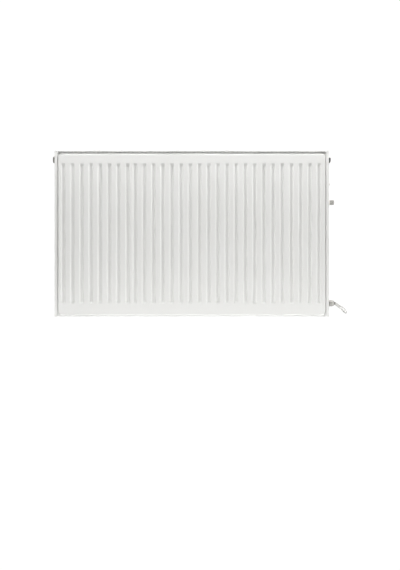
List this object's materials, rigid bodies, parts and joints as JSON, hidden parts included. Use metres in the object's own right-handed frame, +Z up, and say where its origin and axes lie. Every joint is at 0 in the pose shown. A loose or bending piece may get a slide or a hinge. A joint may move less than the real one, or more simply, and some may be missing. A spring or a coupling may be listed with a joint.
{
  "type": "electric panel radiator",
  "caption": "White wall-hung steel panel radiator with a fluted front, top grille, side covers, air vent, thermostat knob and immersion heater with a mains lead.",
  "frame": {"origin": "on the wall plane, at the centre of the four bracket screw holes", "axes": "+X to the right of a person facing the radiator, +Y into the wall, +Z up"},
  "size_m": [1.0925, 0.148, 0.606],
  "materials": {
    "white_paint": "semi-gloss baked powder coat on pressed steel",
    "convector_paint": "thin dipped coat on folded steel",
    "zinc_steel": "galvanised sheet steel",
    "nickel": "satin nickel plate on brass",
    "element_steel": "drawn stainless steel",
    "brass_contact": "bare stamped brass",
    "copper": "drawn copper",
    "seal_rubber": "matt EPDM",
    "black_plastic": "moulded black nylon",
    "grey_plastic": "moulded grey nylon",
    "dark_grey_plastic": "moulded dark grey nylon",
    "pale_plastic": "moulded off-white ABS",
    "cord_pvc": "pale grey flexible PVC",
    "wire_sleeve": "braided glass-fibre sleeve"
  },
  "bodies": {
    "radiator": {"front_panel_outer_sheet": "white_paint", "front_panel_inner_sheet": "white_paint", "rear_panel_inner_sheet": "white_paint", "rear_panel_outer_sheet": "white_paint", "convector_front": "convector_paint", "convector_rear": "convector_paint", "header_tee_right": "white_paint", "header_tee_left": "white_paint", "blanking_plug": "nickel", "blanking_plug_seal": "seal_rubber", "air_vent_seal": "seal_rubber", "air_vent_body": "nickel", "heater_tube": "white_paint", "heater_tube_end": "white_paint", "tube_bridges": "white_paint", "heater_boss": "white_paint", "heater_seal": "seal_rubber", "heating_element": "element_steel", "heater_head": "nickel", "heater_terminals": "brass_contact", "terminal_cap": "grey_plastic", "cable_gland": "dark_grey_plastic", "bend_relief": "cord_pvc", "control_box": "pale_plastic", "thermostat_body": "dark_grey_plastic", "thermostat_bezel": "pale_plastic", "sensor_bulb": "copper", "sensor_capillary": "copper", "switch_housing": "pale_plastic", "switch_contacts": "brass_contact", "heater_wiring": "wire_sleeve", "side_cover_right": "white_paint", "side_cover_left": "white_paint", "control_box_screws": "zinc_steel", "cover_clips": "zinc_steel", "grille_clips": "zinc_steel", "hanging_lugs": "white_paint", "hook_pads": "black_plastic", "wall_bracket_left": "zinc_steel", "wall_bracket_right": "zinc_steel", "mains_cord": "cord_pvc", "cord_coil": "cord_pvc", "cord_tail": "cord_pvc", "coil_tie": "black_plastic", "plug_body": "cord_pvc", "plug_earth_strips": "brass_contact", "plug_pins": "brass_contact"},
    "thermostat_dial": {"thermostat_knob": "grey_plastic", "thermostat_shaft": "element_steel"},
    "rocker": {"switch_rocker": "pale_plastic"},
    "vent_screw": {"air_vent_screw": "nickel"},
    "vent_outlet": {"air_vent_outlet": "black_plastic"},
    "catch_left": {"anti_lift_catch_left": "zinc_steel"},
    "catch_right": {"anti_lift_catch_right": "zinc_steel"},
    "grille": {"top_grille": "white_paint"}
  },
  "joints": [
    {"name": "thermostat_turn", "type": "hinge", "parent": "radiator", "child": "thermostat_dial", "pos_m": [0.508, -0.108, 0.12], "axis": [-1, 0, 0], "range_deg": [0, 270]},
    {"name": "switch_tip", "type": "hinge", "parent": "radiator", "child": "rocker", "pos_m": [0.4975, -0.118, 0.189], "axis": [0, 1, 0], "range_deg": [0, 20]},
    {"name": "vent_screw_turn", "type": "hinge", "parent": "radiator", "child": "vent_screw", "pos_m": [0.508, -0.098, 0.279], "axis": [1, 0, 0], "range_deg": [0, 360]},
    {"name": "vent_outlet_swivel", "type": "hinge", "parent": "radiator", "child": "vent_outlet", "pos_m": [0.508, -0.098, 0.279], "axis": [1, 0, 0], "continuous": true},
    {"name": "catch_slide_left", "type": "slide", "parent": "radiator", "child": "catch_left", "axis": [0, 0, 1], "range_m": [0, 0.012]},
    {"name": "catch_slide_right", "type": "slide", "parent": "radiator", "child": "catch_right", "axis": [0, 0, 1], "range_m": [0, 0.012]},
    {"name": "grille_lift", "type": "slide", "parent": "radiator", "child": "grille", "axis": [0, 0, 1], "range_m": [0, 0.035]}
  ]
}
